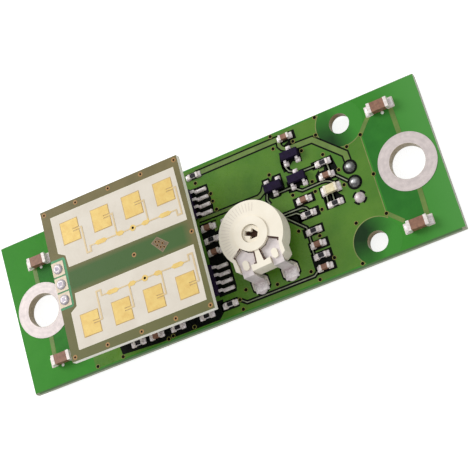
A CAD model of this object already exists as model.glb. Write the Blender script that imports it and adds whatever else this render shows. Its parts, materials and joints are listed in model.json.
"""Dresses a packed radar motion sensor module.

The module is a long carrier board with a square antenna board raised on three pins, a round trimmer,
chips, small chip parts and three solder terminals. Lengths are in millimetres until a mesh is built.
"""

import json
import logging
import math
from dataclasses import dataclass, field
from enum import Enum
from typing import Optional, Sequence, Union

import bmesh
import bpy
from mathutils import Matrix, Vector

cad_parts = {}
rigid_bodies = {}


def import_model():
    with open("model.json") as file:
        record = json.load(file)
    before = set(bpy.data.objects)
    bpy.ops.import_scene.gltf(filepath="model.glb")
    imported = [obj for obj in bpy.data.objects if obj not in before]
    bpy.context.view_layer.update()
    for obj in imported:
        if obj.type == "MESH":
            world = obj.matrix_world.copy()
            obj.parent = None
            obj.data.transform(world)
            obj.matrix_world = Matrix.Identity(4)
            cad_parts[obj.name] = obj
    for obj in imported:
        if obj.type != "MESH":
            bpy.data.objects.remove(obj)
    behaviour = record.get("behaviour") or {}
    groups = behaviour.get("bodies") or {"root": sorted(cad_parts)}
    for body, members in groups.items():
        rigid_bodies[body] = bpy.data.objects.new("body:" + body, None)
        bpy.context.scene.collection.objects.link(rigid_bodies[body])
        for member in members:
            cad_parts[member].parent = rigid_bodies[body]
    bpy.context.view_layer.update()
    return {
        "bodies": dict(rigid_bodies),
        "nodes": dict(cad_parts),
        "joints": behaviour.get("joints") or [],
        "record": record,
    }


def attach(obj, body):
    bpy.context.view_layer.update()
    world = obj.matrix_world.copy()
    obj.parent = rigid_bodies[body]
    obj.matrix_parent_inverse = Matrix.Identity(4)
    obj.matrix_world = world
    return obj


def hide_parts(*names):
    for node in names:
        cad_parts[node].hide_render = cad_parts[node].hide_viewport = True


Point = tuple[float, float]
Socket = bpy.types.NodeSocket
Value = Union[float, Socket]

LOG = logging.getLogger("motion_sensor")
MM = 0.001

# Places and turns that several classes share, in millimetres and degrees
BOARD_TOP = 2.6
BOARD_BOTTOM = 1.0
HALF_LENGTH = 36.5
HALF_WIDTH = 12.7
RING_X = 31.6
TERMINAL_X = 23.097
ANTENNA_CENTRE = (-12.687, 0.0, 10.47)
ANTENNA_TILT = {"Z": -1.25, "Y": -2.85, "X": -1.17}
FEED_HOLE = (2.62, 4.12)
FIRST_PATCH = -7.85
PATCH_STEP = 5.63
TRIMMER_CENTRE = (6.7525, -2.9007)
TRIMMER_HEIGHT = 5.0
TRIMMER_TURN = 2.5

# The stretch of noise that a mottled colour spreads over, soft and clear
SOFT_CLOUDS = (0.3, 0.7)
CLEAR_CLOUDS = (0.35, 0.65)


class Level(Enum):
    """Height of a thin layer above the face it lies on."""

    BARE = 0.006
    POUR = 0.012
    CLEARANCE = 0.018
    TRACK = 0.024
    LAND = 0.030
    MARK = 0.036


class Side(Enum):
    """The two halves of a part that is built twice, as the sign of Y."""

    FAR = 1
    NEAR = -1


def board_face() -> Matrix:
    """The frame of the carrier board's top face."""
    return Matrix.Translation((0.0, 0.0, BOARD_TOP))


def antenna_face() -> Matrix:
    """The frame of the antenna board's top face, tilted as it was soldered.

    Returns:
        The frame, in millimetres.
    """
    face = Matrix.Translation(ANTENNA_CENTRE)
    for axis, degrees in ANTENNA_TILT.items():
        face = face @ Matrix.Rotation(math.radians(degrees), 4, axis)
    return face


def trimmer_face() -> Matrix:
    """The frame of the trimmer's front face."""
    centre = Matrix.Translation((*TRIMMER_CENTRE, BOARD_TOP + TRIMMER_HEIGHT))
    return centre @ Matrix.Rotation(math.radians(TRIMMER_TURN), 4, "Z")


# Finishes


@dataclass(frozen=True)
class Tint:
    """A colour as the eye sees it, in display steps from 0 to 255."""

    red: int
    green: int
    blue: int

    def linear(self) -> tuple[float, float, float, float]:
        """The same colour in the renderer's linear values.

        Returns:
            Red, green, blue and an opacity of one.
        """
        steps = (self.red / 255, self.green / 255, self.blue / 255)
        values = [s / 12.92 if s <= 0.04045 else ((s + 0.055) / 1.055) ** 2.4 for s in steps]
        return values[0], values[1], values[2], 1.0


Paint = Union[Tint, Socket]


@dataclass(frozen=True)
class Fade:
    """A share that changes evenly between two places, which are in millimetres."""

    start: float
    end: float
    first: float = 0.0
    last: float = 1.0


class Net:
    """The nodes of one material."""

    def __init__(self, name: str) -> None:
        """Starts a material with one shader.

        Args:
            name: the material's name.
        """
        self.material = bpy.data.materials.new(name)
        self.material.use_nodes = True
        self.tree = self.material.node_tree
        self.shader = self.tree.nodes["Principled BSDF"]
        self._place: Optional[Socket] = None

    def feed(self, target: Socket, value: Union[Value, Tint]) -> None:
        """Links a socket to another, or sets its value.

        Args:
            target: the socket to set.
            value: a socket, a number or a colour.
        """
        if isinstance(value, bpy.types.NodeSocket):
            self.tree.links.new(value, target)
        elif isinstance(value, Tint):
            target.default_value = value.linear()
        else:
            target.default_value = value

    def place(self) -> Socket:
        """The point on the surface, in the model's own frame.

        Returns:
            The point, in metres.
        """
        if self._place is None:
            self._place = self.tree.nodes.new("ShaderNodeTexCoord").outputs["Object"]
        return self._place

    def axes(self, frame: Matrix = Matrix()) -> tuple[Socket, Socket, Socket]:
        """The three coordinates of the point on the surface in a frame.

        Args:
            frame: the frame that the coordinates are taken in.

        Returns:
            X, Y and Z in metres.
        """
        inverse = frame.inverted()
        turned = self.tree.nodes.new("ShaderNodeMapping")
        turned.vector_type = "POINT"
        turned.inputs["Location"].default_value = inverse.to_translation() * MM
        turned.inputs["Rotation"].default_value = inverse.to_euler("XYZ")
        self.feed(turned.inputs["Vector"], self.place())
        split = self.tree.nodes.new("ShaderNodeSeparateXYZ")
        self.feed(split.inputs[0], turned.outputs[0])
        return split.outputs[0], split.outputs[1], split.outputs[2]

    def math(self, operation: str, *values: Value, clamp: bool = False) -> Socket:
        """One sum over the surface.

        Args:
            operation: the name of the sum.
            values: numbers or sockets.
            clamp: whether the result stays between zero and one.

        Returns:
            The result.
        """
        node = self.tree.nodes.new("ShaderNodeMath")
        node.operation = operation
        node.use_clamp = clamp
        for target, value in zip(node.inputs, values):
            self.feed(target, value)
        return node.outputs[0]

    def away(self, length: Socket, middle: float = 0.0) -> Socket:
        """How far a coordinate lies from a middle in millimetres, on either side of it."""
        return self.math("ABSOLUTE", self.math("SUBTRACT", length, middle * MM))

    def under(self, length: Socket, limit: float) -> Socket:
        """One where a length is under a limit in millimetres, or else zero."""
        return self.math("LESS_THAN", length, limit * MM)

    def about(self, length: Socket, middle: float, half: float) -> Socket:
        """One where a length is within half a width of a middle in millimetres, or else zero."""
        return self.math("COMPARE", length, middle * MM, half * MM)

    def distance(self, x: Socket, y: Socket) -> Socket:
        """The length of the straight way between two coordinates' zero and the point."""
        squares = [self.math("POWER", part, 2.0) for part in (x, y)]
        return self.math("SQRT", self.math("ADD", *squares))

    def fade(self, length: Socket, change: Fade) -> Socket:
        """The share that a fade gives at a length."""
        return self.ramp(length, change.start * MM, change.end * MM, change.first, change.last)

    def ramp(self, value: Socket, low: float, high: float,
             to_low: float = 0.0, to_high: float = 1.0) -> Socket:
        """Stretches one range of values over another.

        Args:
            value: what is stretched.
            low: the start of its range.
            high: the end of its range.
            to_low: the result at the start.
            to_high: the result at the end.

        Returns:
            The stretched value, held between the two results.
        """
        node = self.tree.nodes.new("ShaderNodeMapRange")
        self.feed(node.inputs["Value"], value)
        for name, number in (("From Min", low), ("From Max", high), ("To Min", to_low), ("To Max", to_high)):
            node.inputs[name].default_value = number
        return node.outputs[0]

    def blend(self, share: Socket, first: Paint, second: Paint) -> Socket:
        """Mixes two colours over the surface.

        Args:
            share: how much of the second colour there is.
            first: the first colour.
            second: the second colour.

        Returns:
            The mixed colour.
        """
        node = self.tree.nodes.new("ShaderNodeMix")
        node.data_type = "RGBA"
        self.feed(node.inputs[0], share)
        self.feed(node.inputs[6], first)
        self.feed(node.inputs[7], second)
        return node.outputs[2]

    def noise(self, grain: float, detail: float = 3.0,
              stretch: tuple[float, float, float] = (1, 1, 1)) -> Socket:
        """Cloudy noise.

        Args:
            grain: the size of one cloud.
            detail: how many finer layers it has.
            stretch: how much longer a cloud is along each axis.

        Returns:
            The noise, from zero to one.
        """
        scale = self.tree.nodes.new("ShaderNodeMapping")
        scale.inputs["Scale"].default_value = Vector([1 / s for s in stretch])
        self.feed(scale.inputs["Vector"], self.place())
        node = self.tree.nodes.new("ShaderNodeTexNoise")
        node.inputs["Scale"].default_value = 1 / (grain * MM)
        node.inputs["Detail"].default_value = detail
        self.feed(node.inputs["Vector"], scale.outputs[0])
        return node.outputs["Fac"]

    def bump(self, height: Socket, strength: float, distance: float) -> None:
        """Raises the surface a little.

        Args:
            height: the pattern that is raised.
            strength: how clearly it shows.
            distance: how high it is.
        """
        node = self.tree.nodes.new("ShaderNodeBump")
        node.inputs["Strength"].default_value = strength
        node.inputs["Distance"].default_value = distance * MM
        self.feed(node.inputs["Height"], height)
        self.feed(self.shader.inputs["Normal"], node.outputs[0])


@dataclass(frozen=True)
class Finish:
    """A surface with a little mottling in its colour, its gloss and its relief."""

    name: str
    tint: Tint
    shade: Tint
    grain: float = 1.5
    stretch: tuple[float, float, float] = (1.0, 1.0, 1.0)
    roughness: float = 0.5
    roughness_spread: float = 0.12
    metallic: float = 0.0
    specular: float = 0.5
    relief: float = 0.15
    relief_grain: float = 0.25
    relief_height: float = 0.02

    def colour(self, net: Net) -> Socket:
        """Builds the colour.

        Args:
            net: the material's nodes.

        Returns:
            The colour over the surface.
        """
        clouds = net.ramp(net.noise(self.grain, 4.0, self.stretch), *CLEAR_CLOUDS)
        return net.blend(clouds, self.shade, self.tint)

    def mottled(self, net: Net) -> Socket:
        """The tint clouded softly with the shade, the same way along every axis."""
        clouds = net.ramp(net.noise(self.grain, 4.0), *SOFT_CLOUDS)
        return net.blend(clouds, self.shade, self.tint)

    def material(self) -> bpy.types.Material:
        """Builds the material once and gives it back each time.

        Returns:
            The material.
        """
        known = bpy.data.materials.get(self.name)
        if known:
            return known
        net = Net(self.name)
        net.feed(net.shader.inputs["Base Color"], self.colour(net))
        fine = net.noise(self.relief_grain, 3.0, self.stretch)
        low = max(self.roughness - self.roughness_spread, 0.03)
        high = min(self.roughness + self.roughness_spread, 1.0)
        rough = net.ramp(fine, *SOFT_CLOUDS, low, high)
        net.feed(net.shader.inputs["Roughness"], rough)
        net.shader.inputs["Metallic"].default_value = self.metallic
        net.shader.inputs["Specular IOR Level"].default_value = self.specular
        net.bump(fine, self.relief, self.relief_height)
        return net.material


@dataclass(frozen=True)
class BoardFinish(Finish):
    """Resist on the board's faces, and cut laminate on its edges and in its holes."""

    edge: Tint = Tint(168, 170, 146)
    edge_shade: Tint = Tint(156, 158, 134)
    edge_resist: Tint = Tint(74, 120, 68)
    hole_wall: Tint = Tint(148, 130, 84)
    bright: Tint = Tint(88, 152, 78)
    right_end: Fade = Fade(28.0, 37.0, 0.0, 0.7)
    left_end: Fade = Fade(-28.0, -37.0, 0.0, 0.1)
    green_rim: Fade = Fade(BOARD_TOP - 1.0, BOARD_TOP - 0.2, 0.0, 0.85)
    edge_band: float = 0.6
    level_from: float = 0.9
    glass_grain: float = 0.35
    glass_stretch: tuple[float, float, float] = (8, 8, 1)

    def colour(self, net: Net) -> Socket:
        """Builds the colour: brighter resist towards the ends, laminate where the board is cut.

        Args:
            net: the material's nodes.

        Returns:
            The colour over the surface.
        """
        along, across, up = net.axes()
        ends = net.math("ADD", net.fade(along, self.right_end), net.fade(along, self.left_end))
        resist = net.blend(ends, self.mottled(net), self.bright)
        facing = net.tree.nodes.new("ShaderNodeSeparateXYZ")
        shape = net.tree.nodes.new("ShaderNodeNewGeometry")
        net.feed(facing.inputs[0], shape.outputs["Normal"])
        cut = net.math("LESS_THAN", net.math("ABSOLUTE", facing.outputs[2]), self.level_from)
        glass = net.blend(net.noise(self.glass_grain, 3.0, self.glass_stretch), self.edge_shade, self.edge)
        within_length = net.under(net.away(along), HALF_LENGTH - self.edge_band)
        within_width = net.under(net.away(across), HALF_WIDTH - self.edge_band)
        green = net.math("MULTIPLY", net.fade(up, self.green_rim), within_length)
        outside = net.blend(green, glass, self.edge_resist)
        inside = net.math("MULTIPLY", within_length, within_width)
        return net.blend(cut, resist, net.blend(inside, outside, self.hole_wall))


@dataclass(frozen=True)
class ClearingFinish(Finish):
    """Bare resist round a plain hole: dark beside the copper, brighter towards the board's edge."""

    bright: Tint = Tint(62, 136, 49)
    rightward: Fade = Fade(22.0, 26.6, 0.0, 1.05)
    outward: Fade = Fade(8.0, 12.7, -0.1, 0.55)
    farward: Fade = Fade(-9.0, 9.0, 0.0, 0.21)
    cloud_share: float = 0.06

    def colour(self, net: Net) -> Socket:
        """Builds the colour with a soft change across the clearing.

        Args:
            net: the material's nodes.

        Returns:
            The colour over the surface.
        """
        along, across, _ = net.axes()
        outward = net.fade(net.away(across), self.outward)
        spread = net.math("ADD", net.fade(along, self.rightward), outward)
        spread = net.math("ADD", spread, net.fade(across, self.farward))
        clouds = net.ramp(net.noise(self.grain), *SOFT_CLOUDS, -self.cloud_share, self.cloud_share)
        return net.blend(net.math("ADD", spread, clouds, clamp=True), self.tint, self.bright)


@dataclass(frozen=True)
class RimFinish(Finish):
    """The antenna board: olive resist that turns green across its middle, and white cut laminate."""

    middle: Tint = Tint(60, 93, 38)
    near_tint: Tint = Tint(90, 98, 52)
    laminate: Tint = Tint(250, 248, 238)
    laminate_shade: Tint = Tint(236, 233, 218)
    laminate_grain: float = 0.3
    near_side: Fade = Fade(12.0, -12.0, 0.05, 0.6)
    band: Fade = Fade(1.2, 2.15, 1.0, 0.0)
    band_ends: Fade = Fade(10.0, 11.4, 1.0, 0.0)
    band_centre: float = 0.4
    cut_level: float = -0.02

    def colour(self, net: Net) -> Socket:
        """Builds the colour by the place on the antenna board.

        Args:
            net: the material's nodes.

        Returns:
            The colour over the surface.
        """
        along, across, up = net.axes(antenna_face())
        resist = net.blend(net.fade(across, self.near_side), self.mottled(net), self.near_tint)
        band = net.fade(net.away(across), self.band)
        ends = net.fade(net.away(along, self.band_centre), self.band_ends)
        resist = net.blend(net.math("MULTIPLY", band, ends), resist, self.middle)
        white = net.blend(net.noise(self.laminate_grain), self.laminate_shade, self.laminate)
        return net.blend(net.under(up, self.cut_level), resist, white)


@dataclass(frozen=True)
class ArrayFinish(Finish):
    """Gold patches with tan feed lines."""

    line: Tint = Tint(201, 179, 138)
    patch_half: float = 1.56
    patch_inner: float = 5.8
    bus_half: float = 0.5
    outer_section: Point = (5.72, 1.1)
    near_section: Point = (2.25, 0.7)
    hub_reach: float = 0.6

    def colour(self, net: Net) -> Socket:
        """Builds the colour: gold on the patches and the wide sections, tan on the thin lines.

        Args:
            net: the material's nodes.

        Returns:
            The colour over the surface.
        """
        along, across, _ = net.axes(antenna_face())
        row = net.away(across)
        step = net.math("DIVIDE", net.math("SUBTRACT", along, FIRST_PATCH * MM), PATCH_STEP * MM)
        off = net.math("ABSOLUTE", net.math("SUBTRACT", step, net.math("ROUND", step)))
        beside = net.math("GREATER_THAN", off, self.patch_half / PATCH_STEP)
        lines = net.math("MAXIMUM", beside, net.under(row, self.patch_inner))
        reach = net.away(along, FEED_HOLE[0])
        outer, near = net.about(reach, *self.outer_section), net.about(reach, *self.near_section)
        sections = net.math("MAXIMUM", net.under(reach, self.hub_reach), net.math("MAXIMUM", outer, near))
        wide = net.math("MULTIPLY", net.about(row, FEED_HOLE[1], self.bus_half), sections)
        return net.blend(net.math("SUBTRACT", lines, wide, clamp=True), self.mottled(net), self.line)


@dataclass(frozen=True)
class TerminalFinish(Finish):
    """Solder on the first two terminals: bright at the tip, dark with flux towards its foot."""

    tip: Tint = Tint(226, 228, 228)
    middle_y: float = 1.37
    half_pitch: float = 1.27
    bright_tip: Fade = Fade(0.38, 0.72, 0.85, 0.0)
    wander_grain: float = 0.45
    wander: float = 0.5

    def colour(self, net: Net) -> Socket:
        """Builds the colour by the distance from the nearer of the two pins.

        Args:
            net: the material's nodes.

        Returns:
            The colour over the surface.
        """
        along, across, _ = net.axes()
        off_x = net.math("SUBTRACT", along, TERMINAL_X * MM)
        off_y = net.math("SUBTRACT", net.away(across, self.middle_y), self.half_pitch * MM)
        wander = net.math("MULTIPLY", net.noise(self.wander_grain, 3.0), self.wander * MM)
        near_tip = net.fade(net.math("ADD", net.distance(off_x, off_y), wander), self.bright_tip)
        return net.blend(near_tip, super().colour(net), self.tip)


@dataclass(frozen=True)
class RingFinish(Finish):
    """Dull tin with faint turning marks, and a brown wall inside the hole."""

    wall: Tint = Tint(150, 135, 105)
    hole_reach: float = 2.78
    wander_grain: float = 2.5
    wander: float = 0.5
    circle_rate: float = 9000.0
    circle_share: float = 0.18

    def colour(self, net: Net) -> Socket:
        """Builds the colour with circles round the hole.

        Args:
            net: the material's nodes.

        Returns:
            The colour over the surface.
        """
        along, across, _ = net.axes()
        off_x = net.math("SUBTRACT", net.away(along), RING_X * MM)
        radius = net.distance(off_x, across)
        wander = net.math("MULTIPLY", net.noise(self.wander_grain, 2.0), self.wander * MM)
        circles = net.math("SINE", net.math("MULTIPLY", net.math("ADD", radius, wander), self.circle_rate))
        clouds = net.ramp(net.noise(self.grain, 5.0), *SOFT_CLOUDS)
        share = net.math("MULTIPLY_ADD", circles, self.circle_share, clouds, clamp=True)
        tin = net.blend(share, self.shade, self.tint)
        return net.blend(net.under(radius, self.hole_reach), tin, self.wall)


RESIST = BoardFinish("green_resist", Tint(66, 140, 52), Tint(58, 132, 46), grain=6.0, roughness=0.34,
                     roughness_spread=0.05, specular=0.08, relief=0.04, relief_grain=0.8)
CLEARING = ClearingFinish("clearing_resist", Tint(22, 50, 22), Tint(22, 50, 22), grain=2.0, roughness=0.32,
                          roughness_spread=0.05, specular=0.16, relief=0.04)
DEEP_RESIST = Finish("resist_over_rear_copper", Tint(52, 126, 44), Tint(40, 108, 37), grain=5.0,
                     roughness=0.32, roughness_spread=0.05, specular=0.16, relief=0.04)
POUR = Finish("resist_over_copper", Tint(90, 132, 42), Tint(74, 120, 36), grain=5.0, roughness=0.3,
              roughness_spread=0.06, specular=0.3, relief=0.05, relief_grain=0.6)
POUR_EDGE = Finish("copper_edge", Tint(130, 142, 76), Tint(108, 122, 60), grain=2.0, roughness=0.4)
OLIVE_TRACK = Finish("resist_over_track", Tint(104, 131, 56), Tint(92, 119, 49), grain=1.5, roughness=0.36)
THIN_TRACK = Finish("narrow_track", Tint(150, 156, 132), Tint(112, 122, 92), grain=0.8, roughness=0.4)
CLEARANCE = Finish("etched_gap", Tint(13, 17, 11), Tint(7, 9, 8), grain=1.0, roughness=0.6, specular=0.08)
VIA_DARK = Finish("open_hole", Tint(10, 10, 8), Tint(18, 14, 10), grain=0.3, roughness=0.8, specular=0.05)
VIA_RING = Finish("plated_rim", Tint(150, 146, 66), Tint(122, 118, 50), grain=0.3, roughness=0.45)
RIM_VIA = Finish("plated_rim_on_antenna", Tint(168, 124, 62), Tint(144, 104, 50), grain=0.3, roughness=0.5)
SOLDER = Finish("bright_solder", Tint(250, 243, 242), Tint(214, 203, 206), grain=0.35, roughness=0.36,
                roughness_spread=0.12, metallic=0.15, relief=0.4, relief_grain=0.2, relief_height=0.05)
DARK_SOLDER = TerminalFinish("flux_dark_solder", Tint(142, 141, 140), Tint(84, 84, 86), grain=0.5,
                             roughness=0.36, roughness_spread=0.1, metallic=0.5, relief=0.45,
                             relief_grain=0.35, relief_height=0.07)
FRESH_SOLDER = Finish("fresh_solder", Tint(232, 218, 220), Tint(184, 168, 174), grain=0.5, roughness=0.4,
                      roughness_spread=0.12, metallic=0.2, relief=0.45, relief_grain=0.35,
                      relief_height=0.06)
PALE_LAND = Finish("tinned_land", Tint(242, 234, 222), Tint(216, 206, 192), grain=0.5, roughness=0.45,
                   metallic=0.1, relief=0.2)
PIN_LAND = Finish("pin_land_tin", Tint(217, 202, 178), Tint(201, 184, 160), grain=0.6, roughness=0.45,
                  metallic=0.1, relief=0.2)
PALE_SOLDER = Finish("antenna_solder", Tint(200, 194, 198), Tint(150, 142, 154), grain=0.4, roughness=0.42,
                     metallic=0.2, relief=0.3, relief_grain=0.25, relief_height=0.04)
WINDOW = Finish("open_laminate", Tint(217, 209, 195), Tint(211, 202, 187), grain=3.0, roughness=0.55,
                roughness_spread=0.08, relief=0.12, relief_grain=0.3)
WINDOW_EDGE = Finish("laminate_rim", Tint(234, 229, 214), Tint(224, 218, 200), grain=1.0, roughness=0.5)
PATCH_EDGE = Finish("etched_edge", Tint(196, 166, 112), Tint(180, 150, 100), grain=0.8, roughness=0.5)
GREEN_STRIP = Finish("bright_resist", Tint(44, 142, 84), Tint(38, 122, 72), grain=1.0, roughness=0.4)
RHOMBUS = Finish("brown_resist", Tint(108, 90, 60), Tint(94, 80, 52), grain=0.6, roughness=0.5)
RHOMBUS_EDGE = Finish("brown_resist_edge", Tint(134, 112, 82), Tint(118, 100, 70), grain=0.6, roughness=0.5)
WHITE_DOT = Finish("white_print", Tint(244, 244, 238), Tint(232, 232, 224), grain=0.4, roughness=0.6)
GLAZE = Finish("black_glaze", Tint(24, 18, 30), Tint(14, 10, 18), grain=0.3, roughness=0.3, relief=0.1)
TRIMMER_MARK = Finish("moulded_tick", Tint(235, 226, 212), Tint(227, 217, 203), grain=0.4, roughness=0.6)
SHADOW_LINE = Finish("window_gap", Tint(92, 66, 58), Tint(64, 44, 40), grain=0.4, roughness=0.7,
                     specular=0.1)
SLOT_DARK = Finish("slot_depth", Tint(74, 52, 40), Tint(34, 22, 18), grain=0.5, roughness=0.8, specular=0.1)

NODE_FINISHES: dict[str, Finish] = {
    "solder_mask": RESIST,
    "tinned_copper": RingFinish("ring_tin", Tint(220, 208, 205), Tint(204, 193, 191), grain=0.9,
                                roughness=0.42, metallic=0.35, relief=0.25, relief_grain=0.5),
    "laminate": RimFinish("antenna_resist", Tint(117, 105, 65), Tint(105, 95, 57), grain=2.5, roughness=0.42,
                          specular=0.25, relief=0.08),
    "etched_copper": ArrayFinish("gold_flash", Tint(219, 190, 110), Tint(209, 174, 94), grain=0.9,
                                 stretch=(3.0, 1.0, 1.0), roughness=0.42, metallic=0.15, relief=0.15),
    "solder": SOLDER,
    "tinned_pin": Finish("pin_tin", Tint(176, 168, 178), Tint(132, 124, 138), grain=0.5, roughness=0.4,
                         metallic=0.4, relief=0.2),
    "can_metal": Finish("can_sheet", Tint(206, 204, 200), Tint(176, 175, 172), grain=4.0, roughness=0.32,
                        metallic=0.85, relief=0.12, relief_grain=1.2),
    "ceramic": Finish("puck_ceramic", Tint(222, 212, 190), Tint(204, 192, 170), grain=0.5, roughness=0.5),
    "chip_moulding": Finish("chip_epoxy", Tint(31, 16, 50), Tint(20, 10, 34), grain=0.6, roughness=0.62,
                            roughness_spread=0.1, specular=0.14, relief=0.35, relief_grain=0.12,
                            relief_height=0.012),
    "trimmer_plastic": Finish("cream_plastic", Tint(247, 239, 222), Tint(240, 231, 212), grain=3.0,
                              roughness=0.48, roughness_spread=0.08, relief=0.12, relief_grain=0.4),
    "track_ceramic": Finish("track_carbon", Tint(150, 130, 108), Tint(120, 104, 88), grain=0.5,
                            roughness=0.6),
    "trimmer_metal": Finish("lilac_strip", Tint(229, 220, 219), Tint(212, 202, 202), grain=1.2,
                            roughness=0.4, metallic=0.2, relief=0.15, relief_grain=0.5),
    "resistor_glaze": Finish("resistor_ceramic", Tint(232, 226, 226), Tint(206, 198, 202), grain=0.4,
                             roughness=0.5, relief=0.1),
    "capacitor_ceramic": Finish("brown_ceramic", Tint(150, 108, 86), Tint(128, 90, 72), grain=0.4,
                                roughness=0.45, relief=0.25, relief_grain=0.15),
    "lamp_resin": Finish("cloudy_resin", Tint(238, 228, 190), Tint(222, 209, 168), grain=0.4, roughness=0.3,
                         relief=0.15),
    "lamp_ends": Finish("lamp_cap", Tint(246, 238, 220), Tint(220, 208, 186), grain=0.4, roughness=0.4,
                        metallic=0.3),
    "cap_ends": Finish("tinned_cap", Tint(248, 240, 236), Tint(218, 206, 202), grain=0.3, roughness=0.42,
                       metallic=0.1, relief=0.3, relief_grain=0.15),
    "chip_leads": Finish("tinned_lead", Tint(248, 241, 240), Tint(214, 203, 207), grain=0.4, roughness=0.38,
                         metallic=0.15, relief=0.25, relief_grain=0.2),
}

OWN_FINISHES: dict[str, Finish] = {
    "antenna_pin_lands": PIN_LAND,
}


# Shapes


def ribbon(points: Sequence[Point], width: float, tail: float = 0.0) -> list[Point]:
    """The outline of a line of even width with mitred corners.

    Args:
        points: the line's corners.
        width: its width.
        tail: how far it runs on past both ends.

    Returns:
        The outline's corners, anticlockwise.
    """
    line = [Vector(p) for p in points]
    line[0] = line[0] + (line[0] - line[1]).normalized() * tail
    line[-1] = line[-1] + (line[-1] - line[-2]).normalized() * tail
    left, right = [], []
    for index, point in enumerate(line):
        before = (point - line[index - 1]).normalized() if index else (line[1] - point).normalized()
        after = (line[index + 1] - point).normalized() if index < len(line) - 1 else before
        normal_before = Vector((-before.y, before.x))
        normal_after = Vector((-after.y, after.x))
        mitre = (normal_before + normal_after).normalized()
        offset = mitre * (width / 2 / max(mitre.dot(normal_after), 0.35))
        left.append(tuple(point + offset))
        right.append(tuple(point - offset))
    return right + left[::-1]


def arc(x: float, y: float, radius: float, start: float, end: float, steps: int = 24) -> list[Point]:
    """Points along an arc.

    Args:
        x: the centre's X.
        y: the centre's Y.
        radius: the arc's radius.
        start: its first angle, in degrees.
        end: its last angle, in degrees.
        steps: how many chords it has.

    Returns:
        The points, both ends among them.
    """
    angles = [math.radians(start + (end - start) * i / steps) for i in range(steps + 1)]
    return [(x + radius * math.cos(a), y + radius * math.sin(a)) for a in angles]


def rectangle(x: float, y: float, long: float, wide: float, cut: float = 0.0) -> list[Point]:
    """A rectangle, with cut corners if asked for.

    Args:
        x: the middle's X.
        y: the middle's Y.
        long: its size along X.
        wide: its size along Y.
        cut: how much of each corner is cut.

    Returns:
        The corners, anticlockwise.
    """
    a, b = long / 2, wide / 2
    if cut:
        corners = [(a - cut, -b), (a, cut - b), (a, b - cut), (a - cut, b),
                   (cut - a, b), (-a, b - cut), (-a, cut - b), (cut - a, -b)]
    else:
        corners = [(a, -b), (a, b), (-a, b), (-a, -b)]
    return [(x + p, y + q) for p, q in corners]


def dome(radius: float, base: float, height: float, curve: float, angles: Sequence[int]) -> list[Point]:
    """Part of the profile of a rounded heap.

    Args:
        radius: its radius at the foot.
        base: the level of its foot.
        height: how far its tip stands above the foot, or below it if negative.
        curve: how pointed it is.
        angles: the angles from its axis at which it has a corner, in degrees.

    Returns:
        Radius and level at each angle.
    """
    turns = [math.radians(angle) for angle in angles]
    return [(radius * math.sin(a), base + height * math.cos(a) ** curve) for a in turns]


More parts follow.
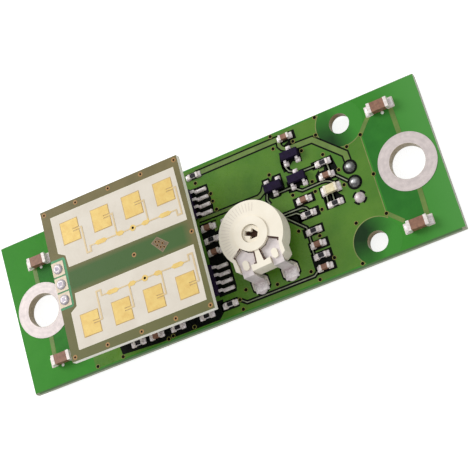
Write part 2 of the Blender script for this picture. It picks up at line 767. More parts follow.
class MeshMaker:
    """Gathers closed shapes in one mesh, in the frame of the face they stand on."""

    def __init__(self, name: str, place: Optional[Matrix] = None) -> None:
        """Starts an empty mesh.

        Args:
            name: the piece's name.
            place: the frame it is drawn in, the carrier board's top face if none is given.
        """
        self.name = name
        self.place = place or board_face()
        self.mesh = bmesh.new()

    def prism(self, outline: Sequence[Point], low: float, high: float) -> None:
        """Adds an upright prism over an outline.

        Args:
            outline: its corners, anticlockwise.
            low: its lower level.
            high: its upper level.
        """
        area = sum(p[0] * q[1] - q[0] * p[1] for p, q in zip(outline, [*outline[1:], outline[0]]))
        corners = list(outline) if area > 0 else list(outline)[::-1]
        floor = [self.mesh.verts.new((x, y, low)) for x, y in corners]
        roof = [self.mesh.verts.new((x, y, high)) for x, y in corners]
        self.mesh.faces.new(roof)
        self.mesh.faces.new(floor[::-1])
        for i in range(len(corners)):
            j = (i + 1) % len(corners)
            self.mesh.faces.new((floor[i], floor[j], roof[j], roof[i]))

    def plate(self, outline: Sequence[Point], level: Level) -> None:
        """Adds a thin plate whose top is at a level."""
        self.prism(outline, 0.0, level.value)

    def line(self, points: Sequence[Point], width: float, level: Level, tail: float = 0.0) -> None:
        """Adds a thin line of even width whose top is at a level."""
        self.plate(ribbon(points, width, tail), level)

    def disc(self, x: float, y: float, radius: float, level: Level, sides: int = 16) -> None:
        """Adds a thin disc whose top is at a level."""
        self.plate(arc(x, y, radius, 0, 360, sides)[:-1], level)

    def ring(self, x: float, y: float, inner: float, outer: float, low: float, high: float,
             sides: int = 24, limit: float = math.inf) -> None:
        """Adds a flat ring.

        Args:
            x: the centre's X.
            y: the centre's Y.
            inner: the hole's radius.
            outer: the ring's radius.
            low: its lower level.
            high: its upper level.
            sides: how many sides its circles have.
            limit: how far from the frame's middle it may reach along Y.
        """
        rows = []
        for radius, z in ((inner, low), (outer, low), (outer, high), (inner, high)):
            circle = arc(x, y, radius, 0, 360, sides)[:-1]
            rows.append([self.mesh.verts.new((p, max(min(q, limit), -limit), z)) for p, q in circle])
        for row, following in zip(rows, [*rows[1:], rows[0]]):
            for i in range(sides):
                j = (i + 1) % sides
                self.mesh.faces.new((row[i], row[j], following[j], following[i]))

    def mound(self, x: float, y: float, long: float, wide: float, height: float,
              low: float = 0.0, steps: int = 6) -> None:
        """Adds a rounded heap of solder on a rectangular land.

        Args:
            x: the middle's X.
            y: the middle's Y.
            long: its size along X.
            wide: its size along Y.
            height: its height in the middle.
            low: the level it stands on.
            steps: how many strips it has each way.
        """
        tops: list[list[bmesh.types.BMVert]] = []
        for i in range(steps + 1):
            u = math.sin(math.pi / 2 * (2 * i / steps - 1))
            row = []
            for j in range(steps + 1):
                v = math.sin(math.pi / 2 * (2 * j / steps - 1))
                rise = max(1 - abs(u) ** 3, 0.0) ** 0.6 * max(1 - abs(v) ** 3, 0.0) ** 0.6
                place = (x + u * long / 2, y + v * wide / 2, low + height * rise)
                row.append(self.mesh.verts.new(place))
            tops.append(row)
        for i in range(steps):
            for j in range(steps):
                self.mesh.faces.new((tops[i][j], tops[i + 1][j], tops[i + 1][j + 1], tops[i][j + 1]))
        rim = [tops[i][0] for i in range(steps)] + [tops[steps][j] for j in range(steps)]
        rim += [tops[i][steps] for i in range(steps, 0, -1)] + [tops[0][j] for j in range(steps, 0, -1)]
        self.mesh.faces.new(rim[::-1])

    def lathe(self, x: float, y: float, profile: Sequence[Point], sides: int = 32) -> None:
        """Adds a turned shape.

        Args:
            x: the axis's X.
            y: the axis's Y.
            profile: radius and level from the lower end to the upper one.
            sides: how many sides it has.
        """
        rows = []
        for radius, z in profile:
            if radius < 1e-6:
                rows.append([self.mesh.verts.new((x, y, z))])
            else:
                circle = arc(x, y, radius, 0, 360, sides)[:-1]
                rows.append([self.mesh.verts.new((p, q, z)) for p, q in circle])
        for row, following in zip(rows, rows[1:]):
            for i in range(sides):
                j = (i + 1) % sides
                if len(row) == 1:
                    self.mesh.faces.new((row[0], following[j], following[i]))
                elif len(following) == 1:
                    self.mesh.faces.new((row[i], row[j], following[0]))
                else:
                    self.mesh.faces.new((row[i], row[j], following[j], following[i]))

    def piece(self, finish: Finish, slot: str, smooth: bool = False, replaces: Sequence[str] = (),
              body: str = "root") -> None:
        """Turns the gathered shapes into a piece of the model.

        Args:
            finish: its surface.
            slot: the record's material slot it takes its finish from.
            smooth: whether its faces are shaded as one surface.
            replaces: the nodes it stands for.
            body: the body it moves with.
        """
        bmesh.ops.transform(self.mesh, matrix=Matrix.Scale(MM, 4) @ self.place, verts=self.mesh.verts)
        data = bpy.data.meshes.new(self.name)
        self.mesh.normal_update()
        self.mesh.to_mesh(data)
        self.mesh.free()
        for face in data.polygons:
            face.use_smooth = smooth
        piece = bpy.data.objects.new(self.name, data)
        bpy.context.scene.collection.objects.link(piece)
        data.materials.append(finish.material())
        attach(piece, body)
        if replaces:
            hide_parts(*replaces)
        LOG.info("%s: %d faces, %s", self.name, len(data.polygons), finish.name)


# Sub-assemblies


@dataclass
class Sheets:
    """The layers on the carrier board's top face: bare resist, copper areas, gaps, tracks and vias."""

    pour_left: float = -25.3
    pour_half: float = 12.3
    resist_half: float = 12.45
    side_hole: Point = (23.6, 9.75)
    side_hole_radius: float = 1.6
    clearing_radius: float = 3.75
    clearing_arc: tuple[float, float] = (48.0, 222.0)
    edge_line: float = 0.14
    gap: float = 0.26
    wide_tracks: list[tuple[float, list[Point]]] = field(default_factory=lambda: [
        (0.72, [(-0.6, 11.27), (13.7, 11.27)]),
        (0.82, [(14.66, 9.15), (18.84, 9.01), (23.05, 4.88), (23.1, 3.4)]),
        (0.5, [(13.72, 10.9), (13.66, 10.17), (14.0, 9.6), (14.5, 9.3)]),
        (0.5, [(-2.2, 3.93), (8.21, 3.72), (9.0, 4.19), (9.6, 5.2)]),
    ])
    thin_tracks: list[list[Point]] = field(default_factory=lambda: [
        [(15.5, 4.93), (18.0, 4.87)],
        [(13.62, 6.92), (13.63, 6.33), (13.96, 5.73), (14.52, 5.44)],
        [(19.89, 4.74), (19.97, 3.2)],
        [(20.29, 2.64), (20.58, 2.36), (22.23, 0.62), (22.9, 0.2)],
        [(13.75, 3.09), (14.55, 2.36), (15.04, 2.02), (18.08, 2.09), (18.9, 2.0), (19.5, 1.75), (20.2, 1.1)],
        [(11.04, 3.05), (11.42, 3.12), (12.81, 3.13), (13.67, 3.1)],
        [(9.6, 3.8), (9.31, 2.76), (9.56, 2.0)],
        [(10.4, -0.42), (14.23, -0.5), (14.74, -0.8), (15.1, -1.4)],
        [(10.6, -0.88), (13.06, -0.99), (13.7, -1.5)],
        [(11.2, -1.1), (11.63, -1.43), (13.91, -3.7), (14.02, -4.42)],
        [(13.93, -4.72), (13.92, -6.6)],
        [(13.74, -7.0), (13.77, -8.66)],
        [(0.0, -10.4), (0.56, -10.33), (1.61, -11.18), (12.87, -11.21), (13.7, -10.6)],
        [(18.35, 0.2), (18.27, -1.5)],
        [(19.3, -0.2), (19.28, -1.3)],
    ])
    thin_width: float = 0.16
    thin_gap_share: float = 2.2
    thin_gap_tail: float = 0.1
    end_tracks: list[tuple[float, list[Point]]] = field(default_factory=lambda: [
        (0.75, [(31.75, 9.1), (31.79, 4.3)]),
        (0.65, [(28.6, 9.4), (27.23, 7.96), (26.1, 6.6)]),
        (0.65, [(26.1, -6.2), (28.3, -8.4)]),
        (0.75, [(31.98, -4.3), (31.8, -8.9)]),
        (0.75, [(-31.45, 7.4), (-31.5, 4.3)]),
        (0.75, [(-31.7, -8.0), (-31.45, -4.3)]),
    ])
    deep_areas: list[list[Point]] = field(default_factory=lambda: [
        [(26.4, -6.3), (28.4, -8.5), (31.7, -8.9), *arc(RING_X, 0.0, 4.4, 269, 91),
         (31.7, 9.1), (28.7, 9.3), (26.4, 6.9)],
        [(-31.1, -8.0), (-25.3, -8.0), (-25.3, 8.0), (-31.1, 8.0), *arc(-RING_X, 0.0, 4.4, 84, -84)],
    ])
    gaps: list[list[Point]] = field(default_factory=lambda: [
        [(-2.4, 4.35), (0.55, 4.35), (0.75, 5.3), (0.75, 9.1), (-2.4, 9.2)],
        [(-2.4, -8.9), (0.5, -8.9), (0.75, -8.0), (0.75, -3.5), (-2.4, -3.4)],
        [(-2.4, -3.4), (0.65, -3.5), (0.65, -1.0), (-2.4, -1.0)],
        [(-2.4, -1.0), (0.5, -1.0), (0.5, 3.1), (-2.4, 3.2)],
        [(-2.3, 10.55), (0.35, 10.55), (0.35, 11.75), (-2.3, 11.75)],
        [(-2.6, -11.3), (0.35, -11.3), (0.35, -9.75), (-2.6, -9.75)],
        [(11.2, -0.9), (13.3, -1.0), (14.0, -2.5), (13.0, -2.9), (11.6, -1.6)],
        [(13.1, 5.8), (14.3, 5.9), (14.2, 7.6), (13.0, 7.6)],
        [(13.0, 7.6), (13.0, 6.4), (14.2, 6.4), (15.0, 7.0), (16.4, 6.4), (16.5, 8.6), (13.2, 8.6)],
        [(12.9, 2.4), (14.4, 2.2), (15.0, 2.9), (16.4, 2.4), (16.4, 4.0), (13.0, 4.2)],
        [(9.3, 3.4), (9.3, 6.05), (10.55, 6.05), (10.75, 5.4), (11.1, 6.05), (12.55, 6.05), (12.6, 3.6),
         (11.6, 2.5), (10.2, 2.5)],
        [(14.2, 9.9), (15.4, 10.35), (16.2, 9.9), (15.1, 9.2), (14.0, 9.2)],
        [(17.5, 1.4), (20.9, 1.6), (20.9, -0.45), (17.5, -0.45)],
        [(17.7, -0.4), (20.1, -0.4), (20.9, -1.2), (20.9, -2.4), (17.75, -2.4)],
        [(17.6, 1.9), (17.6, 3.4), (18.5, 4.2), (19.3, 4.1), (20.9, 5.6), (21.3, 3.2), (20.6, 1.9)],
        [(17.5, 4.3), (17.5, 5.6), (20.9, 5.6), (20.9, 4.1)],
        [(13.1, -0.25), (16.6, -0.25), (16.6, 1.3), (13.1, 1.3)],
        [(13.1, -2.6), (16.7, -2.6), (16.7, -1.05), (13.1, -1.05)],
        [(13.1, -5.3), (16.5, -5.3), (16.5, -3.8), (13.1, -3.8)],
        [(13.3, -7.65), (16.6, -7.65), (16.6, -6.1), (13.3, -6.1)],
        [(13.2, -11.3), (16.6, -11.3), (16.6, -7.9), (13.2, -7.9)],
        [(13.3, 10.3), (16.6, 10.3), (16.6, 11.8), (13.3, 11.8)],
        [(-20.6, -9.3), (-20.3, -11.7), (-14.0, -12.1), (-3.3, -12.15), (-2.3, -11.2), (-2.0, -9.3)],
    ])
    islands: list[list[Point]] = field(default_factory=lambda: [
        [(-0.1, 2.9), (0.45, 2.8), (0.45, 1.4), (-0.1, 1.2)],
        [(-0.1, -0.35), (0.5, -0.45), (0.5, -1.1), (-0.1, -1.2)],
        [(18.4, 3.75), (19.2, 3.75), (19.2, 4.1), (18.4, 4.1)],
        [(14.7, -5.9), (15.9, -5.9), (15.9, -5.45), (14.7, -5.45)],
    ])
    vias: list[Point] = field(default_factory=lambda: [
        (20.28, 12.18), (12.73, 12.14), (15.93, 9.96), (12.59, 10.11), (16.77, 8.01), (19.61, 9.46),
        (19.74, 6.10), (10.77, 6.41), (16.91, 2.73), (21.36, 2.86), (21.42, 0.34), (16.90, 1.09),
        (13.38, 1.90), (17.03, -1.94), (26.16, 6.72), (23.62, 5.79), (26.17, 0.16), (26.14, -6.29),
        (21.36, -5.96), (12.58, -3.76), (15.48, -5.67), (16.60, -9.68), (12.54, -10.37), (13.50, -12.02),
        (20.4, -12.1), (6.97, -10.31), (1.95, -9.26), (0.68, -11.96), (0.60, -10.38), (0.91, 7.31),
        (0.87, 6.02), (1.09, 4.55), (-1.04, 9.88), (-24.88, -12.01), (-20.33, -12.03), (-12.22, -12.05),
        (-11.40, -11.84), (-7.64, -11.76),
    ])
    via_hole: float = 0.27
    via_rim: float = 0.35
    via_rise: float = 0.012
    dots: list[Point] = field(default_factory=lambda: [(30.4, 8.62), (-30.2, 7.0), (-30.65, -9.65)])
    dot_radius: float = 0.27

    def boundary(self) -> list[Point]:
        """The outline of the main copper area.

        Returns:
            Its corners, anticlockwise.
        """
        x, y = self.side_hole
        reach = self.clearing_radius
        start, end = self.clearing_arc
        near = arc(x, -y, reach, end, start)
        far = arc(x, y, reach, -start, -end)
        left = [(self.pour_left, self.pour_half), (self.pour_left, -self.pour_half)]
        return left + [(near[0][0], -self.pour_half)] + near + far + [(far[-1][0], self.pour_half)]

    def build(self) -> None:
        """Builds every layer as one piece each."""
        self.areas()
        self.tracks()
        self.holes()

    def areas(self) -> None:
        """Bare resist, the copper area and its edge."""
        deep = MeshMaker("rear_copper_seen_through")
        for outline in self.deep_areas:
            deep.plate(outline, Level.BARE)
        deep.piece(DEEP_RESIST, "solder_mask")
        pour = MeshMaker("copper_area")
        pour.plate(self.boundary(), Level.POUR)
        pour.piece(POUR, "solder_mask")
        clearing = MeshMaker("hole_clearings")
        x, y = self.side_hole
        for side in Side:
            clearing.ring(x, side.value * y, self.side_hole_radius, self.clearing_radius, 0.0,
                          Level.BARE.value, 64, self.resist_half)
        clearing.piece(CLEARING, "solder_mask")
        edge = MeshMaker("copper_area_edge")
        edge.line(self.boundary()[2:-1], self.edge_line, Level.CLEARANCE)
        edge.piece(POUR_EDGE, "solder_mask")

    def tracks(self) -> None:
        """Tracks with the etched gaps beside them."""
        gaps = MeshMaker("etched_gaps")
        for outline in self.gaps:
            gaps.plate(outline, Level.CLEARANCE)
        for width, points in self.wide_tracks:
            gaps.line(points, width + 2 * self.gap, Level.CLEARANCE)
        for points in self.thin_tracks:
            width = self.thin_width + self.thin_gap_share * self.gap
            gaps.line(points, width, Level.CLEARANCE, self.thin_gap_tail)
        gaps.piece(CLEARANCE, "solder_mask")
        wide = MeshMaker("wide_tracks")
        for width, points in self.wide_tracks + self.end_tracks:
            wide.line(points, width, Level.TRACK)
        for outline in self.islands:
            wide.plate(outline, Level.TRACK)
        wide.piece(OLIVE_TRACK, "solder_mask")
        thin = MeshMaker("narrow_tracks")
        for points in self.thin_tracks:
            thin.line(points, self.thin_width, Level.LAND)
        thin.piece(THIN_TRACK, "solder_mask")

    def holes(self) -> None:
        """Vias with their plated rims, and the white dots beside the corner capacitors."""
        rims, dark = MeshMaker("via_rims"), MeshMaker("via_holes")
        for x, y in self.vias:
            rims.ring(x, y, self.via_hole, self.via_rim, 0.0, Level.MARK.value + self.via_rise, 16)
            dark.disc(x, y, self.via_hole, Level.MARK)
        rims.piece(VIA_RING, "solder_mask")
        dark.piece(VIA_DARK, "solder_mask")
        dots = MeshMaker("white_dots")
        radius = self.dot_radius
        profile = [(0.0, 0.0), (radius, 0.0), (radius * 0.92, 0.04), (radius * 0.6, 0.075), (0.0, 0.09)]
        for x, y in self.dots:
            dots.lathe(x, y, profile, 16)
        dots.piece(WHITE_DOT, "solder_mask", smooth=True)


@dataclass(frozen=True)
class Footing:
    """A tinned land under the end of a part, and the heap of solder on it."""

    land_x: float
    land: Point
    cut: float
    solder_x: float
    solder: tuple[float, float, float]


@dataclass
class SolderedParts:
    """Lands, solder and glazed windows of the chips and small chip parts."""

    capacitors: list[Point] = field(default_factory=lambda: [
        (14.87, 11.1), (19.35, 2.75), (14.87, 0.5), (14.87, -6.85), (14.87, -10.52), (-1.02, 2.25),
        (-1.02, -1.82), (-13.95, -10.9)])
    resistors: list[Point] = field(default_factory=lambda: [
        (19.35, 4.9), (19.35, -1.82), (14.87, -1.82), (14.87, -4.6), (14.87, -8.65), (-1.02, 0.2),
        (-1.02, 11.1), (-1.02, -10.52), (2.45, 2.25), (-17.2, -10.9), (-10.2, -10.9), (-5.15, -10.9)])
    corner_capacitors: list[Point] = field(default_factory=lambda: [
        (30.2, 9.65), (30.2, -9.65), (-30.25, 7.95), (-30.25, -8.7)])
    lamp: Point = (19.35, 0.5)
    lead_rows: tuple[float, ...] = (8.465, 7.195, 5.925, 4.655, -4.295, -5.565, -6.835, -8.105)
    lead_feet: list[Point] = field(default_factory=lambda: [
        (14.87, 9.2), (13.92, 6.9), (15.82, 6.9), (14.87, 5.3), (13.92, 3.0), (15.82, 3.0),
        (9.97, 5.3), (11.87, 5.3), (10.92, 3.2)])
    chip_end: Footing = Footing(0.84, (0.92, 0.98), 0.12, 0.92, (0.78, 0.9, 0.26))
    corner_end: Footing = Footing(1.75, (1.15, 1.72), 0.1, 1.78, (0.95, 1.6, 0.3))
    lamp_end: Footing = Footing(1.15, (0.95, 1.45), 0.12, 1.15, (0.85, 1.35, 0.34))
    lead: Footing = Footing(-0.55, (1.95, 0.62), 0.1, -0.5, (1.7, 0.56, 0.24))
    foot: Footing = Footing(0.0, (0.84, 0.84), 0.1, 0.0, (0.78, 0.78, 0.3))
    solder_level: float = 0.03
    glaze_size: tuple[float, float] = (0.86, 0.64)
    glaze_cut: float = 0.08
    glaze_depth: float = 0.06
    resistor_top: float = 0.48

    def build(self) -> None:
        """Builds the lands, the solder and the windows."""
        lands, heaps = MeshMaker("component_lands"), MeshMaker("component_solder")
        both_ends, one_end = (-1, 1), (1,)
        rows = [
            (self.chip_end, both_ends, self.capacitors + self.resistors),
            (self.corner_end, both_ends, self.corner_capacitors),
            (self.lamp_end, both_ends, [self.lamp]),
            (self.lead, one_end, [(0.0, y) for y in self.lead_rows]),
            (self.foot, one_end, self.lead_feet),
        ]
        for footing, ways, places in rows:
            for x, y in places:
                for way in ways:
                    outline = rectangle(x + way * footing.land_x, y, *footing.land, footing.cut)
                    lands.plate(outline, Level.MARK)
                    heaps.mound(x + way * footing.solder_x, y, *footing.solder, low=self.solder_level)
        lands.piece(PALE_LAND, "solder")
        heaps.piece(SOLDER, "solder", smooth=True)
        self.windows()

    def windows(self) -> None:
        """Builds the black glazed windows of the resistors."""
        windows = MeshMaker("resistor_windows")
        low = self.resistor_top - self.glaze_depth
        for x, y in self.resistors:
            windows.prism(rectangle(x, y, *self.glaze_size, self.glaze_cut), low, self.resistor_top)
        windows.piece(GLAZE, "resistor_glaze")


@dataclass
class Joints:
    """Solder round the pins: three terminals, and three pins of the antenna board on both boards."""

    terminals: tuple[float, ...] = (2.64, 0.1, -2.44)
    dome_radius: float = 0.85
    dome_height: float = 0.66
    pin_hole: float = 0.5
    clearance_radius: float = 1.16
    gap_half_angle: float = 27.0
    foot_row: tuple[float, ...] = (2.54, 0.0, -2.54)
    foot_row_x: float = -11.425
    antenna_dome_radius: float = 0.82
    antenna_dome_height: float = 0.3
    antenna_pin_hole: float = 0.46
    antenna_foot: float = 0.04
    antenna_sink: float = -0.02

    def spool(self) -> list[Point]:
        """The profile of a joint through the carrier board, from below to above.

        Returns:
            Radius and level above the board's top face.
        """
        rear = BOARD_BOTTOM - BOARD_TOP
        radius, height = self.dome_radius, self.dome_height
        below = dome(radius, rear, -height, 1.4, range(12, 91, 13))
        above = dome(radius, 0.0, height, 1.3, range(77, -1, -11))
        waist = [(self.pin_hole, rear), (self.pin_hole, 0.0), (radius, 0.0)]
        return [(0.0, rear - height), *below, *waist, *above]

    def build(self) -> None:
        """Builds the joints, and the gaps in the copper round the terminals."""
        dark, fresh = MeshMaker("terminal_solder"), MeshMaker("fresh_terminal_solder")
        for maker, y in zip((dark, dark, fresh), self.terminals):
            maker.lathe(TERMINAL_X, y, self.spool(), 40)
        dark.piece(DARK_SOLDER, "solder", smooth=True, replaces=["terminal_joints"])
        fresh.piece(FRESH_SOLDER, "solder", smooth=True, replaces=["terminal_joints"])
        self.clearances()
        self.antenna_domes()

    def clearances(self) -> None:
        """Builds the black rings round two terminals, and the third one's ring with its four bridges."""
        gaps = MeshMaker("terminal_gaps")
        *closed, bridged = self.terminals
        for y in closed:
            gaps.disc(TERMINAL_X, y, self.clearance_radius, Level.LAND, 32)
        for quarter in range(4):
            middle = 45 + 90 * quarter
            start, end = middle - self.gap_half_angle, middle + self.gap_half_angle
            outer = arc(TERMINAL_X, bridged, self.clearance_radius, start, end, 4)
            inner = arc(TERMINAL_X, bridged, self.dome_radius, end, start, 4)
            gaps.plate(outer + inner, Level.LAND)
        gaps.piece(CLEARANCE, "solder_mask")

    def antenna_domes(self) -> None:
        """Builds the solder round the pins on the antenna board."""
        domes = MeshMaker("antenna_solder", antenna_face())
        sink, foot, hole = self.antenna_sink, self.antenna_foot, self.antenna_pin_hole
        radius, height = self.antenna_dome_radius, self.antenna_dome_height - foot
        profile = [(0.0, sink), (hole, sink), (hole, foot), (radius, foot)]
        profile += dome(radius, foot, height, 0.8, range(75, -1, -15))
        for y in self.foot_row:
            domes.lathe(self.foot_row_x, y, profile, 32)
        domes.piece(PALE_SOLDER, "solder", smooth=True)


@dataclass
class AntennaDress:
    """What is seen on the antenna board: open laminate, patch edges, strips, vias and a brown mark."""

    window: list[Point] = field(default_factory=lambda: [
        (-10.80, 10.88), (-10.76, 4.94), (-9.58, 4.24), (-9.42, 2.24), (11.55, 2.08), (11.43, 10.72)])
    rim: float = 0.12
    patches: int = 4
    patch_y: float = 7.62
    patch_size: Point = (3.05, 3.5)
    patch_rim: float = 0.24
    rim_via_x: tuple[float, ...] = (-11.8, -5.95, 0.05, 5.95, 11.85)
    rim_via_y: float = 11.78
    via_hole: float = 0.17
    via_rim: float = 0.38
    feed_hole_radius: float = 0.21
    band_via: Point = (1.77, 0.0)
    strip: list[Point] = field(default_factory=lambda: [
        (-12.4, 4.1), (-12.4, -4.05), (-10.25, -4.05), (-10.0, -3.7), (-9.86, 3.7), (-10.1, 4.1)])
    rhombus: list[Point] = field(default_factory=lambda: [
        (6.12, 1.25), (5.03, 0.6), (6.5, -1.28), (7.75, -0.28)])
    rhombus_edge: float = 0.14
    rhombus_dots: list[Point] = field(default_factory=lambda: [
        (5.74, 0.60), (6.27, 0.44), (6.78, 0.02), (5.87, 0.01), (6.37, -0.45), (6.92, -0.63)])
    dot_hole: float = 0.14
    dot_rim: float = 0.22

    def build(self) -> None:
        """Builds every layer of the antenna board's face."""
        self.windows()
        self.patch_edges()
        self.strips()
        self.vias()

    def mirrored(self, points: Sequence[Point], side: Side) -> list[Point]:
        """The points on one side of the board's middle."""
        return [(x, y * side.value) for x, y in points]

    def windows(self) -> None:
        """The two openings in the resist with their bright edge."""
        edge = MeshMaker("window_edges", antenna_face())
        open_face = MeshMaker("laminate_windows", antenna_face())
        for side in Side:
            outline = self.mirrored(self.window, side)
            open_face.plate(outline, Level.POUR)
            edge.line([*outline, outline[0]], self.rim, Level.BARE, self.rim / 2)
        edge.piece(WINDOW_EDGE, "laminate")
        open_face.piece(WINDOW, "laminate")

    def patch_edges(self) -> None:
        """The etched edge that shows round each patch."""
        edges = MeshMaker("patch_edges", antenna_face())
        long, wide = (size + self.patch_rim for size in self.patch_size)
        for side in Side:
            for index in range(self.patches):
                x = FIRST_PATCH + index * PATCH_STEP
                edges.plate(rectangle(x, side.value * self.patch_y, long, wide), Level.CLEARANCE)
        edges.piece(PATCH_EDGE, "etched_copper")

    def strips(self) -> None:
        """The bright strip round the pins' lands, and the brown mark with its dots."""
        strip = MeshMaker("land_strip", antenna_face())
        strip.plate(self.strip, Level.BARE)
        strip.piece(GREEN_STRIP, "laminate")
        mark = MeshMaker("brown_mark", antenna_face())
        mark.plate(self.rhombus, Level.BARE)
        mark.piece(RHOMBUS, "laminate")
        outline = MeshMaker("brown_mark_edge", antenna_face())
        corners = [*self.rhombus, self.rhombus[0]]
        outline.line(corners, self.rhombus_edge, Level.POUR, self.rhombus_edge / 2)
        outline.piece(RHOMBUS_EDGE, "laminate")

    def vias(self) -> None:
        """The plated holes along the rim, in the middle band, in the mark and at the feeds."""
        rims = MeshMaker("antenna_via_rims", antenna_face())
        dark = MeshMaker("antenna_via_holes", antenna_face())
        places = [(x, side.value * self.rim_via_y) for side in Side for x in self.rim_via_x]
        places += [(self.rim_via_x[-1], 0.0), self.band_via]
        for x, y in places:
            rims.ring(x, y, self.via_hole, self.via_rim, 0.0, Level.POUR.value, 20)
            dark.disc(x, y, self.via_hole, Level.BARE)
        for x, y in self.rhombus_dots:
            dark.disc(x, y, self.dot_hole, Level.POUR, 12)
            rims.ring(x, y, self.dot_hole, self.dot_rim, 0.0, Level.POUR.value, 12)
        x, y = FEED_HOLE
        for side in Side:
            dark.disc(x, side.value * y, self.feed_hole_radius, Level.TRACK)
        rims.piece(RIM_VIA, "laminate")
        dark.piece(VIA_DARK, "laminate")


@dataclass
class TrimmerDress:
    """Ticks on the trimmer's front, and the solder on its terminals."""

    tick_start: float = 68.0
    tick_end: float = 212.0
    ticks: int = 22
    tick_inner: float = 3.45
    tick_outer: float = 4.75
    tick_width: float = 0.1
    tick_levels: tuple[float, float] = (-0.03, 0.018)
    land_x: float = 2.54
    land_y: float = -6.2
    land_size: Point = (2.7, 2.75)
    land_cut: float = 0.75
    land_gap: float = 0.22
    solder_y: float = -6.75
    solder_size: tuple[float, float, float] = (2.3, 1.65, 0.6)
    solder_level: float = 0.02
    window_edges: list[list[Point]] = field(default_factory=lambda: [
        [(2.3, -1.5), (3.75, -2.35), (3.6, -2.72)], [(0.45, -2.72), (0.66, -4.55), (1.02, -4.5)]])
    window_line: float = 0.2
    window_levels: tuple[float, float] = (-0.05, 0.012)
    slot_angle: float = -27.0
    slot_half: float = 0.36
    slot_tail: float = -1.02
    arrow: Point = (-0.05, 0.9)
    arrow_tip: float = 1.05
    slot_floor: tuple[float, float] = (-1.25, -0.8)

    def build(self) -> None:
        """Builds the slot's dark floor, the gaps, the ticks, and the lands with their solder."""
        self.slot()
        self.window_gaps()
        self.dial()
        self.footings()

    def dial(self) -> None:
        """Builds the ticks round the dial."""
        ticks = MeshMaker("dial_ticks", trimmer_face())
        step = (self.tick_end - self.tick_start) / (self.ticks - 1)
        for index in range(self.ticks):
            a = math.radians(self.tick_start + index * step)
            ends = [(r * math.cos(a), r * math.sin(a)) for r in (self.tick_inner, self.tick_outer)]
            ticks.prism(ribbon(ends, self.tick_width), *self.tick_levels)
        ticks.piece(TRIMMER_MARK, "trimmer_plastic")

    def footings(self) -> None:
        """Builds the two lands on the carrier board, the gaps round them and the solder on them."""
        ground = trimmer_face() @ Matrix.Translation((0.0, 0.0, -TRIMMER_HEIGHT))
        names = ("trimmer_land_gaps", "trimmer_lands", "trimmer_solder")
        gaps, lands, heaps = (MeshMaker(name, ground) for name in names)
        long, wide = self.land_size
        border = 2 * self.land_gap
        for way in (-1, 1):
            x = way * self.land_x
            outline = rectangle(x, self.land_y, long + border, wide + border, self.land_cut)
            gaps.plate(outline, Level.CLEARANCE)
            lands.plate(rectangle(x, self.land_y, long, wide, self.land_cut), Level.LAND)
            heaps.mound(x, self.solder_y, *self.solder_size, low=self.solder_level, steps=8)
        gaps.piece(CLEARANCE, "solder_mask")
        lands.piece(PALE_LAND, "solder")
        heaps.piece(SOLDER, "solder", smooth=True)

    def window_gaps(self) -> None:
        """Builds the dark gaps between the terminals and the edges of their windows."""
        gaps = MeshMaker("terminal_window_gaps", trimmer_face())
        for side in Side:
            for points in self.window_edges:
                edge = [(side.value * x, y) for x, y in points]
                gaps.prism(ribbon(edge, self.window_line), *self.window_levels)
        gaps.piece(SHADOW_LINE, "trimmer_plastic")

    def slot(self) -> None:
        """Builds the dark floor of the arrow-shaped slot, which turns with the rotor."""
        turn = Matrix.Rotation(math.radians(self.slot_angle - TRIMMER_TURN), 4, "Z")
        floor = MeshMaker("slot_floor", trimmer_face() @ turn)
        back, wing = self.arrow
        half = self.slot_half
        far = [(self.slot_tail, half), (back, half), (back, wing), (self.arrow_tip, half)]
        floor.prism([(x, -y) for x, y in far] + far[::-1], *self.slot_floor)
        floor.piece(SLOT_DARK, "trimmer_plastic", body="rotor")


# Studio


def rays_seen(tree: bpy.types.NodeTree, *kinds: str) -> Socket:
    """One for the rays of the named kinds, or else zero.

    Args:
        tree: the nodes that it joins.
        kinds: names of the light path's outputs.

    Returns:
        The socket that tells them apart.
    """
    path = tree.nodes.new("ShaderNodeLightPath")
    seen = path.outputs[kinds[0]]
    for kind in kinds[1:]:
        either = tree.nodes.new("ShaderNodeMath")
        either.operation = "MAXIMUM"
        tree.links.new(seen, either.inputs[0])
        tree.links.new(path.outputs[kind], either.inputs[1])
        seen = either.outputs[0]
    return seen


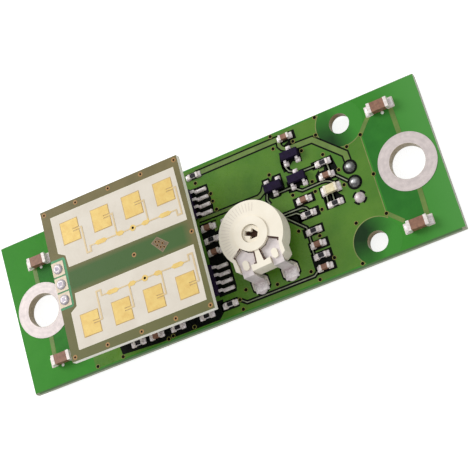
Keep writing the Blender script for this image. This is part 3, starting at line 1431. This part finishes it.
@dataclass
class Studio:
    """The pale floor, the soft lights and the camera."""

    lens: float = 110.96
    camera_place: tuple[float, float, float] = (66.733, -69.535, 203.342)
    right: tuple[float, float, float] = (0.88619, -0.271154, -0.375691)
    down: tuple[float, float, float] = (-0.362518, -0.910747, -0.197789)
    ahead: tuple[float, float, float] = (-0.288528, 0.311473, -0.905393)
    floor_half: float = 2000.0
    floor_grey: float = 0.55
    floor_roughness: float = 0.9
    floor_glow: float = 0.8
    key_power: float = 3.6
    key_place: tuple[float, float, float] = (-520.0, 330.0, 400.0)
    key_size: float = 340.0
    sky: float = 0.69

    def build(self) -> None:
        """Sets up the scene round the model."""
        self.floor()
        self.lights()
        self.camera()

    def camera(self) -> None:
        """Places the camera at the photograph's viewpoint."""
        data = bpy.data.cameras.new("viewpoint")
        data.lens = self.lens
        data.sensor_width = 36.0
        data.clip_start = 0.01
        camera = bpy.data.objects.new("viewpoint", data)
        axes = (Vector(self.right), -Vector(self.down), -Vector(self.ahead))
        matrix = Matrix.Identity(4)
        for column, axis in enumerate(axes):
            for row in range(3):
                matrix[row][column] = axis[row]
        matrix.translation = Vector(self.camera_place) * MM
        camera.matrix_world = matrix
        bpy.context.scene.collection.objects.link(camera)
        bpy.context.scene.camera = camera
        bpy.context.scene.view_settings.view_transform = "Standard"

    def floor(self) -> None:
        """Lays a white floor that shows white to the camera and keeps a soft shadow."""
        half = self.floor_half * MM
        data = bpy.data.meshes.new("floor")
        corners = [(-half, -half, 0), (half, -half, 0), (half, half, 0), (-half, half, 0)]
        data.from_pydata(corners, [], [(0, 1, 2, 3)])
        floor = bpy.data.objects.new("floor", data)
        bpy.context.scene.collection.objects.link(floor)
        material = bpy.data.materials.new("white_floor")
        material.use_nodes = True
        tree = material.node_tree
        shader = tree.nodes["Principled BSDF"]
        grey = self.floor_grey
        shader.inputs["Base Color"].default_value = (grey, grey, grey, 1)
        shader.inputs["Roughness"].default_value = self.floor_roughness
        seen = rays_seen(tree, "Is Camera Ray", "Is Glossy Ray", "Is Transmission Ray")
        scaled = tree.nodes.new("ShaderNodeMath")
        scaled.operation = "MULTIPLY"
        scaled.inputs[1].default_value = self.floor_glow
        tree.links.new(seen, scaled.inputs[0])
        shader.inputs["Emission Color"].default_value = (1, 1, 1, 1)
        tree.links.new(scaled.outputs[0], shader.inputs["Emission Strength"])
        data.materials.append(material)

    def lights(self) -> None:
        """Hangs one wide lamp at the upper left and a pale sky."""
        lamp = bpy.data.lights.new("wide_lamp", "AREA")
        lamp.shape = "DISK"
        lamp.size = self.key_size * MM
        lamp.energy = self.key_power
        key = bpy.data.objects.new("wide_lamp", lamp)
        key.location = Vector(self.key_place) * MM
        key.rotation_euler = Vector(self.key_place).to_track_quat("Z", "Y").to_euler()
        bpy.context.scene.collection.objects.link(key)
        world = bpy.data.worlds.new("sky")
        world.use_nodes = True
        tree = world.node_tree
        back = tree.nodes["Background"]
        back.inputs["Color"].default_value = (1, 1, 1, 1)
        seen = rays_seen(tree, "Is Camera Ray", "Is Transmission Ray")
        level = tree.nodes.new("ShaderNodeMapRange")
        level.inputs["To Min"].default_value = self.sky
        level.inputs["To Max"].default_value = 1.0
        tree.links.new(seen, level.inputs["Value"])
        tree.links.new(level.outputs[0], back.inputs["Strength"])
        bpy.context.scene.world = world


def dress_nodes(frame: dict) -> None:
    """Gives every node its own finish, or else that of its slot.

    Args:
        frame: the loaded frame.
    """
    for part in frame["record"]["subparts"]:
        node = frame["nodes"][part["node"]]
        finish = OWN_FINISHES.get(part["node"], NODE_FINISHES[part["material_slot"]])
        node.data.materials.clear()
        node.data.materials.append(finish.material())
    LOG.info("dressed %d nodes", len(frame["nodes"]))


def main() -> None:
    """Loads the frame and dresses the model."""
    logging.basicConfig(level=logging.INFO, format="%(message)s")
    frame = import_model()
    Studio().build()
    dress_nodes(frame)
    Sheets().build()
    SolderedParts().build()
    Joints().build()
    AntennaDress().build()
    TrimmerDress().build()


if __name__ == "__main__":
    main()
